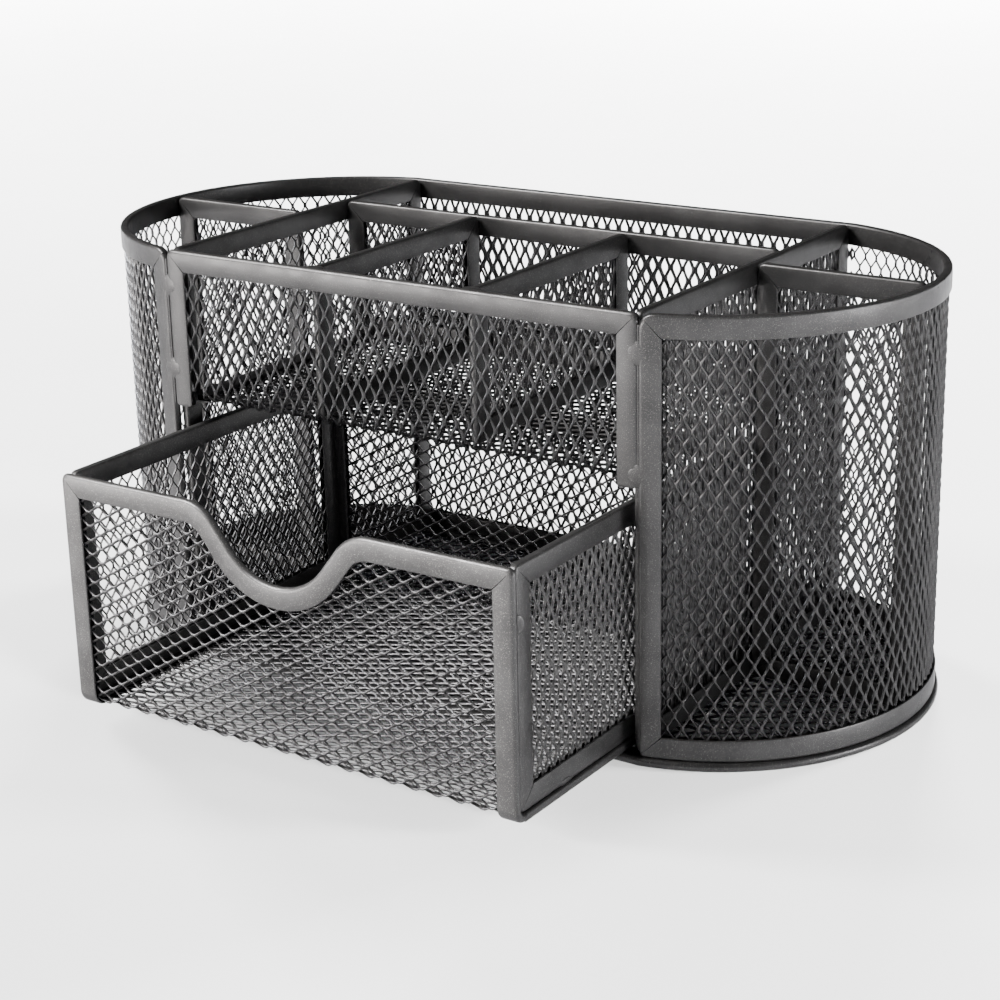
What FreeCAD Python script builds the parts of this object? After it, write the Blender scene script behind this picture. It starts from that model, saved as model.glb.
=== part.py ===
import FreeCAD, Part
import math
import os

# Desk organizer of expanded steel mesh: two round ends, a shallow tray across the front, a slot
# behind it and a drawer underneath. Millimetres, +X to the right, +Y to the back, +Z up.
# The origin is the middle of the body's base, on the table.

Vector = FreeCAD.Vector

# Body
overall_height = 104.5
overall_length = 219.8
body_depth = 105.4
front_width = 132.6
base_thickness = 2.2
base_lip = 0.8
wall_inset = 1.35
seam_gap = 0.3
weld_gap = 0.1

# Folded U-section strip that grips the edge of every mesh panel
strip_width = 5.3
strip_thickness = 2.1
strip_grip = 3.6
crown_radius = 0.8
corner_radius = 1.6
mitre_slit = 0.2

# Expanded mesh, with openings twice the size of the real ones and strands to match
mesh_thickness = 0.8
mesh_long_pitch = 12.0
mesh_short_pitch = 7.0
mesh_strand = 1.6
mesh_margin = 0.9
smallest_opening_share = 0.15
bend_radius = 2.5

# Tray and dividers
tray_height = 38.5
long_divider_offset = 17.4
short_divider_spacing = 44.2
left_end_divider_offset = -0.1
right_end_divider_offset = 2.4

# Drawer, drawn out as far as it stands in the photograph
drawer_pull_out = 44.1
drawer_side_clearance = 1.1
drawer_back_clearance = 1.8
drawer_floor_clearance = 0.3
drawer_top_clearance = 5.5
scoop_depth = 16.0
scoop_slope = 52.0
scoop_shoulder_radius = 11.0
scoop_bottom_radius = 16.0

# Spot welds that stand proud on the seams
weld_radius = 1.9
weld_height = 0.4
valley_weld_heights = (95.6, 71.0)
drawer_corner_weld_drop = 13.5
drawer_side_weld_setback = 20.5

# Sizes that follow from these
half_depth = body_depth / 2
half_front = front_width / 2
strip_inset = strip_width - strip_grip
mesh_setback = (strip_thickness - mesh_thickness) / 2
fold_reach = mesh_setback + mesh_thickness / 2 + bend_radius
end_bulge = overall_length / 2 - half_front
end_radius = (half_depth ** 2 + end_bulge ** 2) / (2 * end_bulge)
end_centre = overall_length / 2 - end_radius
wall_centre = half_front - wall_inset
wall_inside = wall_centre - strip_thickness / 2
wall_outside = wall_centre + strip_thickness / 2
inner_depth = half_depth - strip_thickness
tray_underside = overall_height - tray_height
tray_floor_top = tray_underside + strip_thickness
tray_half_width = wall_inside - weld_gap
divider_height = overall_height - tray_floor_top
drawer_half_width = wall_inside - drawer_side_clearance
drawer_bottom = base_thickness + drawer_floor_clearance
drawer_top = tray_underside - drawer_top_clearance
drawer_length = body_depth - strip_thickness - drawer_back_clearance
drawer_front = -half_depth - drawer_pull_out
drawer_back = drawer_front + drawer_length


def box(x0, x1, y0, y1, z0, z1):
    return Part.makeBox(x1 - x0, y1 - y0, z1 - z0, Vector(x0, y0, z0))


def moved(shape, x=0.0, y=0.0, z=0.0):
    copy = shape.copy()
    copy.translate(Vector(x, y, z))
    return copy


def turned_to_yz(shape):
    """Turns a panel drawn in the XZ plane so that its length runs along +Y."""
    copy = shape.copy()
    copy.rotate(Vector(0, 0, 0), Vector(0, 0, 1), 90)
    return copy


def laid_flat(shape, thickness):
    """Lays a panel drawn in the XZ plane on its face at Z = 0, so that its height runs along +Y."""
    copy = shape.copy()
    copy.rotate(Vector(0, 0, 0), Vector(1, 0, 0), -90)
    return moved(copy, z=thickness)


def mirrored(shape):
    return shape.mirror(Vector(0, 0, 0), Vector(1, 0, 0))


def on_plane(edge, axis, value):
    """True if the whole edge lies in the plane where the axis, 0, 1 or 2, has that value."""
    bounds = edge.BoundBox
    low = (bounds.XMin, bounds.YMin, bounds.ZMin)[axis]
    high = (bounds.XMax, bounds.YMax, bounds.ZMax)[axis]
    return abs(low - value) < 1e-4 and abs(high - value) < 1e-4


def rounded(shape, radius, wanted):
    return shape.makeFillet(radius, [edge for edge in shape.Edges if wanted(edge)])


# Expanded mesh


def diamonds(low_u, high_u, low_v, high_v, pitch_u, pitch_v):
    """The openings as corner points, centred on a panel and cut off a margin inside its edges."""
    shrink = 1 - mesh_strand * math.hypot(pitch_u, pitch_v) / (pitch_u * pitch_v)
    half_u = pitch_u / 2 * shrink
    half_v = pitch_v / 2 * shrink
    middle_u = (low_u + high_u) / 2
    middle_v = (low_v + high_v) / 2
    steps_u = int((high_u - low_u) / pitch_u) + 1
    steps_v = int((high_v - low_v) / pitch_v) + 1
    borders = [(0, 1, low_u + mesh_margin), (0, -1, high_u - mesh_margin),
               (1, 1, low_v + mesh_margin), (1, -1, high_v - mesh_margin)]
    openings = []
    for i in range(-steps_u, steps_u + 1):
        for j in range(-steps_v, steps_v + 1):
            if (i + j) % 2:
                continue
            u = middle_u + i * pitch_u / 2
            v = middle_v + j * pitch_v / 2
            corners = [(u - half_u, v), (u, v + half_v), (u + half_u, v), (u, v - half_v)]
            for axis, sign, limit in borders:
                corners = cut_off(corners, axis, sign, limit)
            if area(corners) > smallest_opening_share * 2 * half_u * half_v:
                openings.append(corners)
    return openings


def cut_off(corners, axis, sign, limit):
    """The part of a polygon on the side of a limit that the sign points to."""
    kept = []
    for start, end in zip(corners, corners[1:] + corners[:1]):
        start_side = sign * (start[axis] - limit)
        end_side = sign * (end[axis] - limit)
        if start_side >= 0:
            kept.append(start)
        if start_side * end_side < 0:
            share = start_side / (start_side - end_side)
            kept.append(tuple(a + (b - a) * share for a, b in zip(start, end)))
    return kept


def area(corners):
    pairs = zip(corners, corners[1:] + corners[:1])
    return abs(sum(a[0] * b[1] - a[1] * b[0] for a, b in pairs)) / 2


def within(face, corners):
    """True if no corner lies outside a face in the XZ plane; one on its edge is inside."""
    on_edge = 0.01
    return all(face.isInside(Vector(x, 0, z), on_edge, True) for x, z in corners)


def sheet(outline, openings):
    """A mesh sheet in the XZ plane, its front face at Y = 0."""
    outer = Part.Face(outline)
    if outer.normalAt(0, 0).y > 0:
        outline = outline.reversed()
    holes = []
    for corners in openings:
        points = [Vector(u, 0, v) for u, v in corners]
        holes.append(Part.makePolygon(points + points[:1]))
    return Part.Face([outline] + holes).extrude(Vector(0, mesh_thickness, 0))


def rectangle(x0, x1, z0, z1):
    corners = [(x0, z0), (x1, z0), (x1, z1), (x0, z1), (x0, z0)]
    return Part.makePolygon([Vector(x, 0, z) for x, z in corners])


def rectangular_sheet(x0, x1, z0, z1, pitch_x, pitch_z):
    return sheet(rectangle(x0, x1, z0, z1), diamonds(x0, x1, z0, z1, pitch_x, pitch_z))


# Folded strips


def edging(length, height):
    """The U-section strip round a flat panel: X 0 to length, Y 0 to its thickness."""
    plate = box(0, length, 0, strip_thickness, 0, height)
    plate = rounded(plate, corner_radius, lambda edge: abs(edge.BoundBox.YLength - strip_thickness) < 1e-4)
    plate = rounded(plate, crown_radius,
                    lambda edge: on_plane(edge, 1, 0) or on_plane(edge, 1, strip_thickness))
    window = box(strip_width, length - strip_width, -1, strip_thickness + 1,
                 strip_width, height - strip_width)
    slot = box(strip_inset, length - strip_inset, mesh_setback, mesh_setback + mesh_thickness,
               strip_inset, height - strip_inset)
    return plate.cut([window, slot])


def panel_mesh(length, height, pitch_x, pitch_z):
    """The mesh that fills that strip's slot."""
    mesh = rectangular_sheet(strip_inset, length - strip_inset, strip_inset, height - strip_inset,
                             pitch_x, pitch_z)
    return moved(mesh, y=mesh_setback)


def mitre(corner_x, corner_z, towards_x, towards_z, y0, y1, rail):
    """The wedge to cut from a rail, or else from a post, where the two meet at 45 degrees."""
    reach = strip_width * 3
    slit = mitre_slit / math.sqrt(2)
    if rail:
        points = [(-reach, -reach), (reach, reach), (-reach, reach)]
        shift = (slit, 0)
    else:
        points = [(-reach, -reach), (reach, reach), (reach, -reach)]
        shift = (0, slit)
    corners = [Vector(corner_x + towards_x * (x + shift[0]), y0, corner_z + towards_z * (z + shift[1]))
               for x, z in points]
    return Part.Face(Part.makePolygon(corners + corners[:1])).extrude(Vector(0, y1 - y0, 0))


# Base


def body_outline(offset):
    """The body's outline in the XZ plane, to be laid flat, moved outward by an offset."""
    radius = end_radius + offset
    depth = half_depth + offset
    past_centre = math.sqrt(max(radius ** 2 - depth ** 2, 0))
    reach = end_centre + math.copysign(past_centre, half_front - end_centre)
    tip = end_centre + radius
    right = Part.Arc(Vector(reach, 0, -depth), Vector(tip, 0, 0), Vector(reach, 0, depth)).toShape()
    back = Part.LineSegment(Vector(reach, 0, depth), Vector(-reach, 0, depth)).toShape()
    left = Part.Arc(Vector(-reach, 0, depth), Vector(-tip, 0, 0), Vector(-reach, 0, -depth)).toShape()
    front = Part.LineSegment(Vector(-reach, 0, -depth), Vector(reach, 0, -depth)).toShape()
    return Part.Wire([right, back, left, front])


def base_rim():
    outer = Part.Face(body_outline(base_lip)).extrude(Vector(0, base_thickness, 0))
    outer = rounded(outer, crown_radius,
                    lambda edge: on_plane(edge, 1, 0) or on_plane(edge, 1, base_thickness))
    window = Part.Face(body_outline(base_lip - strip_width)).extrude(Vector(0, base_thickness, 0))
    slot = Part.Face(body_outline(base_lip - strip_inset)).extrude(Vector(0, mesh_thickness, 0))
    slot = moved(slot, y=(base_thickness - mesh_thickness) / 2)
    return laid_flat(outer.cut([window, slot]), base_thickness)


def base_floor_mesh():
    edge = base_lip - strip_inset
    reach = end_centre + end_radius + edge
    limit = Part.Face(body_outline(edge - mesh_margin))
    openings = diamonds(-reach, reach, -half_depth, half_depth, mesh_long_pitch, mesh_short_pitch)
    openings = [corners for corners in openings if within(limit, corners)]
    mesh = laid_flat(sheet(body_outline(edge), openings), mesh_thickness)
    return moved(mesh, z=(base_thickness - mesh_thickness) / 2)


# Round ends, drawn on the right and mirrored for the left


def end_band(inner, outer, low, high):
    height = high - low
    centre = Vector(end_centre, 0, low)
    ring = Part.makeCylinder(outer, height, centre).cut(Part.makeCylinder(inner, height, centre))
    return ring.common(box(half_front, overall_length, -body_depth, body_depth, low, high))


def end_edging():
    """One U-section strip along the top, down the front and along the bottom of a round end."""
    top = overall_height
    bottom = base_thickness
    band = end_band(end_radius - strip_thickness, end_radius, bottom, top)

    def front_corner(edge):
        return (edge.BoundBox.YMax < 0 and on_plane(edge, 0, half_front)
                and (on_plane(edge, 2, top) or on_plane(edge, 2, bottom)))

    def crown(edge):
        bounds = edge.BoundBox
        at_front = bounds.XMax < half_front + corner_radius + 0.1 and bounds.YMax < 0
        along = (on_plane(edge, 2, top) or on_plane(edge, 2, bottom)) and bounds.XLength > corner_radius
        return along or (at_front and bounds.YLength < strip_thickness / 2)

    band = rounded(band, corner_radius, front_corner)
    band = rounded(band, crown_radius, crown)
    window = box(half_front + strip_width, overall_length, -body_depth, body_depth,
                 bottom + strip_width, top - strip_width)
    back_window = box(half_front - 1, overall_length, 0, body_depth,
                      bottom + strip_width, top - strip_width)
    middle = end_radius - strip_thickness / 2
    slot = end_band(middle - mesh_thickness / 2, middle + mesh_thickness / 2,
                    bottom + strip_inset, top - strip_inset)
    slot = slot.cut(box(half_front - 1, half_front + strip_inset, -body_depth, 0, 0, top))
    return band.cut([window, back_window, slot])


def end_strips():
    """That edging as its three pieces: the top rim, the front post and the bottom strip."""
    whole = end_edging()
    top = overall_height
    bottom = base_thickness
    front = (-body_depth, 0)
    rim = whole.common(box(0, overall_length, -body_depth, body_depth, top - strip_width, top + 1))
    rim = rim.cut(mitre(half_front, top, 1, -1, *front, rail=True))
    strip = whole.common(box(0, overall_length, -body_depth, body_depth, 0, bottom + strip_width))
    strip = strip.cut(mitre(half_front, bottom, 1, 1, *front, rail=True))
    post = whole.common(box(0, half_front + strip_width, -body_depth, 0, 0, top + 1))
    post = post.cut([mitre(half_front, top, 1, -1, *front, rail=False),
                     mitre(half_front, bottom, 1, 1, *front, rail=False)])
    return {"top_rim": rim, "bottom_strip": strip, "front_post": post}


def end_mesh():
    middle = end_radius - strip_thickness / 2
    low = base_thickness + strip_inset
    high = overall_height - strip_inset
    band = end_band(middle - mesh_thickness / 2, middle + mesh_thickness / 2, low, high)
    band = band.cut(box(half_front - 1, half_front + strip_inset, -body_depth, 0, 0, overall_height))
    reach = math.acos((half_front - end_centre) / middle) * middle
    start = -reach + strip_inset
    tools = []
    for corners in diamonds(start, reach, low, high, mesh_short_pitch, mesh_long_pitch):
        middle_angle = sum(u for u, v in corners) / len(corners) / middle
        outward = Vector(math.cos(middle_angle), math.sin(middle_angle), 0)
        along = Vector(-outward.y, outward.x, 0)
        points = []
        for u, v in corners:
            side = u - middle_angle * middle
            points.append(Vector(end_centre, 0, v) + outward * (middle - 2) + along * side)
        tools.append(Part.Face(Part.makePolygon(points + points[:1])).extrude(outward * 4))
    return band.cut(tools)


# Back wall and the two walls that part the round ends from the middle


def back_rail(low):
    """A straight strip across the back, its open side towards the mesh."""
    high = low + strip_width
    rail = box(-half_front, half_front, inner_depth, half_depth, low, high)
    outer_edge = high if high > overall_height - 1 else low
    inner_edge = low if outer_edge == high else high
    rail = rounded(rail, crown_radius,
                   lambda edge: on_plane(edge, 2, outer_edge) and edge.BoundBox.XLength > strip_width)
    towards = 1 if inner_edge > outer_edge else -1
    slot_start = outer_edge + towards * strip_inset
    slot = box(-half_front, half_front, inner_depth + mesh_setback,
               inner_depth + mesh_setback + mesh_thickness,
               min(slot_start, inner_edge), max(slot_start, inner_edge))
    return rail.cut(slot)


def back_mesh():
    mesh = rectangular_sheet(-half_front, half_front, base_thickness + strip_inset,
                             overall_height - strip_inset, mesh_short_pitch, mesh_long_pitch)
    return moved(mesh, y=inner_depth + mesh_setback)


def cross_wall():
    """Frame and mesh of the right wall, from the tray's strips back to the back rails."""
    length = 2 * (inner_depth - weld_gap)
    height = overall_height - base_thickness
    frame = edging(length, height)
    mesh = panel_mesh(length, height, mesh_short_pitch, mesh_long_pitch)
    pieces = {}
    for name, shape in (("frame", frame), ("mesh", mesh)):
        pieces[name] = moved(turned_to_yz(shape), wall_outside, -length / 2, base_thickness)
    return pieces


# Tray: one sheet folded from the front panel into the floor


def fold(half_width, y_outer, z_outer, towards_back):
    """The quarter bend between an upright sheet and the floor, its outer faces at those planes."""
    inner = bend_radius - mesh_thickness / 2
    outer = bend_radius + mesh_thickness / 2
    centre_y = y_outer + towards_back * outer
    centre_z = z_outer + outer
    axis = Vector(1, 0, 0)
    start = Vector(-half_width, centre_y, centre_z)
    ring = Part.makeCylinder(outer, 2 * half_width, start, axis)
    ring = ring.cut(Part.makeCylinder(inner, 2 * half_width, start, axis))
    corner_y = sorted((centre_y, y_outer))
    return ring.common(box(-half_width, half_width, corner_y[0], corner_y[1], z_outer, centre_z))


def floor_sheet(half_width, y0, y1, z0, pitch_x, pitch_y):
    mesh = rectangular_sheet(-half_width, half_width, y0, y1, pitch_x, pitch_y)
    return moved(laid_flat(mesh, mesh_thickness), z=z0)


def tray_sheet():
    y_outer = -half_depth + mesh_setback
    z_outer = tray_underside + mesh_setback
    half_floor = tray_half_width - strip_inset
    half_panel = half_front - seam_gap - strip_inset
    panel = rectangular_sheet(-half_panel, half_panel, tray_underside + fold_reach,
                              overall_height - strip_inset, mesh_short_pitch, mesh_long_pitch)
    panel = moved(panel, y=y_outer)
    floor = floor_sheet(half_floor, -half_depth + fold_reach, inner_depth - weld_gap - strip_inset,
                        z_outer, mesh_short_pitch, mesh_long_pitch)
    return panel.fuse([fold(half_floor, y_outer, z_outer, 1), floor])


def tray_front():
    """The strips round the front panel: a rail along the top and a short strip down each side."""
    half_width = half_front - seam_gap
    whole = moved(edging(2 * half_width, tray_height), -half_width, -half_depth, tray_underside)
    depth = (-half_depth - 1, -inner_depth + 1)
    rail = whole.common(box(-half_width, half_width, *depth, overall_height - strip_width, overall_height))
    rail = rail.cut([mitre(side * half_width, overall_height, -side, -1, *depth, rail=True)
                     for side in (-1, 1)])
    left = whole.common(box(-half_width, -half_width + strip_width, *depth,
                            tray_underside, overall_height))
    left = left.cut([mitre(-half_width, overall_height, 1, -1, *depth, rail=False),
                     box(-half_width + strip_inset, half_width, *depth, 0, tray_underside + fold_reach)])
    return rail, left


def lying_strip(y0, y1, z0, outer_x):
    """A flat strip along the right edge of a folded floor, its crown towards +X."""
    strip = box(outer_x - strip_width, outer_x, y0, y1, z0, z0 + strip_thickness)
    strip = rounded(strip, crown_radius,
                    lambda edge: on_plane(edge, 0, outer_x) and edge.BoundBox.YLength > strip_width)
    slot = box(outer_x - strip_width, outer_x - strip_inset, y0, y1,
               z0 + mesh_setback, z0 + mesh_setback + mesh_thickness)
    return strip.cut(slot)


def tray_rear_strip():
    length = 2 * (tray_half_width - strip_width)
    strip = lying_strip(-length / 2, length / 2, tray_underside, 0)
    return moved(turned_to_yz(strip), 0, inner_depth - weld_gap, 0)


# Dividers


def long_divider():
    length = 2 * (wall_inside - weld_gap)
    frame = edging(length, divider_height)
    mesh = panel_mesh(length, divider_height, mesh_short_pitch, mesh_long_pitch)
    y = long_divider_offset - strip_thickness / 2
    return {"frame": moved(frame, -length / 2, y, tray_floor_top),
            "mesh": moved(mesh, -length / 2, y, tray_floor_top)}


def short_divider(x):
    start = -inner_depth + weld_gap
    length = long_divider_offset - strip_thickness / 2 - weld_gap - start
    frame = edging(length, divider_height)
    mesh = panel_mesh(length, divider_height, mesh_short_pitch, mesh_long_pitch)
    return {name: moved(turned_to_yz(shape), x + strip_thickness / 2, start, tray_floor_top)
            for name, shape in (("frame", frame), ("mesh", mesh))}


def end_divider(y):
    """From the cross wall out to the round end's inner face."""
    start = wall_outside + weld_gap
    reach = abs(y) + strip_thickness / 2
    end = end_centre + math.sqrt((end_radius - strip_thickness) ** 2 - reach ** 2) - weld_gap
    height = overall_height - base_thickness
    frame = edging(end - start, height)
    mesh = panel_mesh(end - start, height, mesh_short_pitch, mesh_long_pitch)
    return {name: moved(shape, start, y - strip_thickness / 2, base_thickness)
            for name, shape in (("frame", frame), ("mesh", mesh))}


# Drawer


def scooped_face(inset, half_width, bottom):
    """The drawer front's outline, its top edge lowered round the finger scoop by an inset."""
    slope = math.radians(scoop_slope)
    sine = math.sin(slope)
    cosine = math.cos(slope)
    radii = scoop_shoulder_radius + scoop_bottom_radius
    run = (scoop_depth - radii * (1 - cosine)) / sine
    shoulder_x = radii * sine + run * cosine
    shoulder = scoop_shoulder_radius - inset
    hollow = scoop_bottom_radius + inset
    shoulder_z = drawer_top - scoop_shoulder_radius
    hollow_z = drawer_top - scoop_depth + scoop_bottom_radius

    def arc_point(side, centre_x, centre_z, radius, angle):
        return Vector(side * (centre_x - radius * math.sin(angle)), 0, centre_z + radius * math.cos(angle))

    def line(start, end):
        return Part.LineSegment(start, end).toShape()

    top = drawer_top - inset
    edges = []
    corners = {}
    for side in (-1, 1):
        start = Vector(side * shoulder_x, 0, top)
        middle = arc_point(side, shoulder_x, shoulder_z, shoulder, slope / 2)
        end = arc_point(side, shoulder_x, shoulder_z, shoulder, slope)
        hollow_start = Vector(side * hollow * sine, 0, hollow_z - hollow * cosine)
        edges.append(Part.Arc(start, middle, end).toShape())
        edges.append(line(end, hollow_start))
        edges.append(line(Vector(side * half_width, 0, top), start))
        corners[side] = hollow_start
    lowest = Vector(0, 0, hollow_z - hollow)
    edges.append(Part.Arc(corners[-1], lowest, corners[1]).toShape())
    lower_left = Vector(-half_width, 0, bottom)
    lower_right = Vector(half_width, 0, bottom)
    edges.append(line(Vector(-half_width, 0, top), lower_left))
    edges.append(line(Vector(half_width, 0, top), lower_right))
    edges.append(line(lower_left, lower_right))
    return Part.Face(Part.Wire(Part.__sortEdges__(edges)))


def drawer_sheet():
    """One sheet folded up at both ends: scooped front, floor and rear."""
    half_panel = drawer_half_width - strip_inset
    z_outer = drawer_bottom + mesh_setback
    front_y = drawer_front + mesh_setback
    rear_y = drawer_back - mesh_setback
    low = drawer_bottom + fold_reach
    face = scooped_face(strip_inset, half_panel, low)
    limit = scooped_face(strip_inset + mesh_margin, half_panel - mesh_margin, low + mesh_margin)
    top = drawer_top - strip_inset
    openings = diamonds(-half_panel, half_panel, low, top, mesh_long_pitch, mesh_short_pitch)
    openings = [corners for corners in openings if within(limit, corners)]
    front = moved(sheet(face.OuterWire, openings), y=front_y)
    rear = rectangular_sheet(-half_panel, half_panel, low, top, mesh_long_pitch, mesh_short_pitch)
    rear = moved(rear, y=rear_y - mesh_thickness)
    floor = floor_sheet(half_panel, drawer_front + fold_reach, drawer_back - fold_reach, z_outer,
                        mesh_long_pitch, mesh_short_pitch)
    return front.fuse([fold(half_panel, front_y, z_outer, 1), floor,
                       fold(half_panel, rear_y, z_outer, -1), rear])


def drawer_upright_frame(y0, scooped):
    """The strips round an upright end of the drawer's sheet: a top rail and a strip each side."""
    half_width = drawer_half_width
    if scooped:
        outline = scooped_face(0, half_width, drawer_bottom)
        window = scooped_face(strip_width, half_width - strip_width, drawer_bottom - 1)
        slot = scooped_face(strip_inset, half_width - strip_inset, drawer_bottom - 1)
    else:
        outline = Part.Face(rectangle(-half_width, half_width, drawer_bottom, drawer_top))
        window = Part.Face(rectangle(-half_width + strip_width, half_width - strip_width,
                                     drawer_bottom - 1, drawer_top - strip_width))
        slot = Part.Face(rectangle(-half_width + strip_inset, half_width - strip_inset,
                                   drawer_bottom - 1, drawer_top - strip_inset))
    outline = outline.extrude(Vector(0, strip_thickness, 0))

    def top_corner(edge):
        return (abs(edge.BoundBox.YLength - strip_thickness) < 1e-4
                and abs(abs(edge.BoundBox.XMin) - half_width) < 1e-4
                and edge.BoundBox.ZMin > drawer_top - 1)

    def crown(edge):
        flat = on_plane(edge, 1, 0) or on_plane(edge, 1, strip_thickness)
        return flat and not on_plane(edge, 2, drawer_bottom)

    outline = rounded(outline, corner_radius, top_corner)
    outline = rounded(outline, crown_radius, crown)
    window = moved(window.extrude(Vector(0, strip_thickness + 2, 0)), y=-1)
    slot = moved(slot.extrude(Vector(0, mesh_thickness, 0)), y=mesh_setback)
    whole = outline.cut([window, slot])
    depth = (-1, strip_thickness + 1)
    side_boxes = [box(side * half_width - strip_width, side * half_width + strip_width,
                      *depth, drawer_bottom, drawer_top - strip_width) for side in (-1, 1)]
    rail = whole.cut(side_boxes)
    rail = rail.cut([mitre(side * half_width, drawer_top, -side, -1, *depth, rail=True)
                     for side in (-1, 1)])
    left = whole.common(box(-half_width - 1, -half_width + strip_width, *depth,
                            drawer_bottom, drawer_top))
    left = left.cut([mitre(-half_width, drawer_top, 1, -1, *depth, rail=False),
                     box(-half_width + strip_inset, half_width, *depth,
                         drawer_bottom, drawer_bottom + fold_reach)])
    return moved(rail, y=y0), moved(left, y=y0)


def drawer_side():
    """Frame and mesh of the drawer's right side, standing on the floor's edge strip."""
    length = drawer_length - 2 * strip_thickness
    height = drawer_top - drawer_bottom - strip_thickness
    frame = edging(length, height)
    mesh = panel_mesh(length, height, mesh_short_pitch, mesh_long_pitch)
    return {name: moved(turned_to_yz(shape), drawer_half_width, drawer_front + strip_thickness,
                        drawer_bottom + strip_thickness)
            for name, shape in (("frame", frame), ("mesh", mesh))}


# Spot welds


def weld(x, y, z, outward):
    """A low round nugget on a face, standing out along a direction."""
    nugget = Part.makeCylinder(weld_radius, weld_height, Vector(x, y, z), outward)
    top = Vector(x, y, z) + outward * weld_height
    return rounded(nugget, weld_height * 0.8,
                   lambda edge: edge.BoundBox.Center.distanceToPoint(top) < 1e-3)


def body_welds():
    """Nuggets over the seams between the tray's front and the round ends' posts."""
    seam = half_front - seam_gap / 2
    post_depth = math.sqrt(end_radius ** 2 - (half_front + weld_radius - end_centre) ** 2)
    front = -max(half_depth, post_depth)
    return Part.makeCompound([weld(side * seam, front, z, Vector(0, -1, 0))
                              for side in (-1, 1) for z in valley_weld_heights])


def drawer_welds():
    welds = []
    for side in (-1, 1):
        welds.append(weld(side * drawer_half_width, drawer_front + drawer_side_weld_setback,
                          drawer_bottom + strip_thickness + weld_radius, Vector(side, 0, 0)))
        welds.append(weld(side * drawer_half_width, drawer_front + strip_thickness + weld_radius,
                          drawer_top - drawer_corner_weld_drop, Vector(side, 0, 0)))
    return Part.makeCompound(welds)


def build():
    nodes = {"base_rim": base_rim(), "base_floor_mesh": base_floor_mesh()}

    for name, shape in list(end_strips().items()) + [("mesh", end_mesh())]:
        nodes["right_end_" + name] = shape
        nodes["left_end_" + name] = mirrored(shape)

    nodes["back_top_rail"] = back_rail(overall_height - strip_width)
    nodes["back_bottom_rail"] = back_rail(base_thickness)
    nodes["back_mesh"] = back_mesh()

    for name, shape in cross_wall().items():
        nodes["right_wall_" + name] = shape
        nodes["left_wall_" + name] = mirrored(shape)

    rail, left_strip = tray_front()
    nodes["tray_sheet"] = tray_sheet()
    nodes["tray_front_rail"] = rail
    nodes["left_tray_front_strip"] = left_strip
    nodes["right_tray_front_strip"] = mirrored(left_strip)
    floor_strip = lying_strip(-half_depth + fold_reach, inner_depth - weld_gap, tray_underside,
                              tray_half_width)
    nodes["right_tray_floor_strip"] = floor_strip
    nodes["left_tray_floor_strip"] = mirrored(floor_strip)
    nodes["tray_rear_strip"] = tray_rear_strip()

    for name, shape in long_divider().items():
        nodes["long_divider_" + name] = shape
    for side, sign in (("left", -1), ("right", 1)):
        for name, shape in short_divider(sign * short_divider_spacing / 2).items():
            nodes[side + "_short_divider_" + name] = shape
    for name, shape in end_divider(right_end_divider_offset).items():
        nodes["right_end_divider_" + name] = shape
    for name, shape in end_divider(left_end_divider_offset).items():
        nodes["left_end_divider_" + name] = mirrored(shape)

    nodes["drawer_sheet"] = drawer_sheet()
    front_rail, front_strip = drawer_upright_frame(drawer_front, True)
    nodes["drawer_front_rail"] = front_rail
    nodes["left_drawer_front_strip"] = front_strip
    nodes["right_drawer_front_strip"] = mirrored(front_strip)
    rear_rail, rear_strip = drawer_upright_frame(drawer_back - strip_thickness, False)
    nodes["drawer_rear_rail"] = rear_rail
    nodes["left_drawer_rear_strip"] = rear_strip
    nodes["right_drawer_rear_strip"] = mirrored(rear_strip)
    floor_strip = lying_strip(drawer_front + fold_reach, drawer_back - fold_reach,
                              drawer_bottom, drawer_half_width)
    nodes["right_drawer_floor_strip"] = floor_strip
    nodes["left_drawer_floor_strip"] = mirrored(floor_strip)
    for name, shape in drawer_side().items():
        nodes["right_drawer_side_" + name] = shape
        nodes["left_drawer_side_" + name] = mirrored(shape)

    nodes["body_spot_welds"] = body_welds()
    nodes["drawer_spot_welds"] = drawer_welds()
    return nodes


os.makedirs("parts", exist_ok=True)
for node, solid in build().items():
    solid.exportStep("parts/" + node + ".step")
    print("%-28s %d solid, %8.1f mm3" % (node, len(solid.Solids), solid.Volume))
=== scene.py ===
import math

import bmesh
import bpy
from mathutils import Matrix, Vector


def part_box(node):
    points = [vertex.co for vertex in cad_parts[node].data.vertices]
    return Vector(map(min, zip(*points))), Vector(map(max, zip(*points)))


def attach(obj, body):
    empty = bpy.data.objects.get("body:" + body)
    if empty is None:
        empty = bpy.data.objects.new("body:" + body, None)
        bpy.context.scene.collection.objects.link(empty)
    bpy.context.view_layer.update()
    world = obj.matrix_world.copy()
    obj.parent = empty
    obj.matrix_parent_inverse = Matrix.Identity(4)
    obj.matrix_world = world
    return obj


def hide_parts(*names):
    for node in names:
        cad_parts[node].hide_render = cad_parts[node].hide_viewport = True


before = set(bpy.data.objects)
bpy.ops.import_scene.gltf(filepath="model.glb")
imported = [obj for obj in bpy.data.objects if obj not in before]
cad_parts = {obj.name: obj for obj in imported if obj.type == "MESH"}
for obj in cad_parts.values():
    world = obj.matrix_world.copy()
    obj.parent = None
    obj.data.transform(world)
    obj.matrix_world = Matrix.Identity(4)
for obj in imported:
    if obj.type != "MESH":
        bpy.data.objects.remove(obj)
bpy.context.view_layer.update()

# Expanded steel mesh, in metres; the broad strands are those of the back and the cross walls
long_pitch = 0.0060
short_pitch = 0.0035
strand_width = 0.00055
broad_strand_width = 0.00068
strand_thickness = 0.00046
bond_half_length = 0.00042
strand_tilt = math.radians(50)
bend_radius = 0.0025
sheet_half = 0.0004
cut_slack = 1e-7

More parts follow.
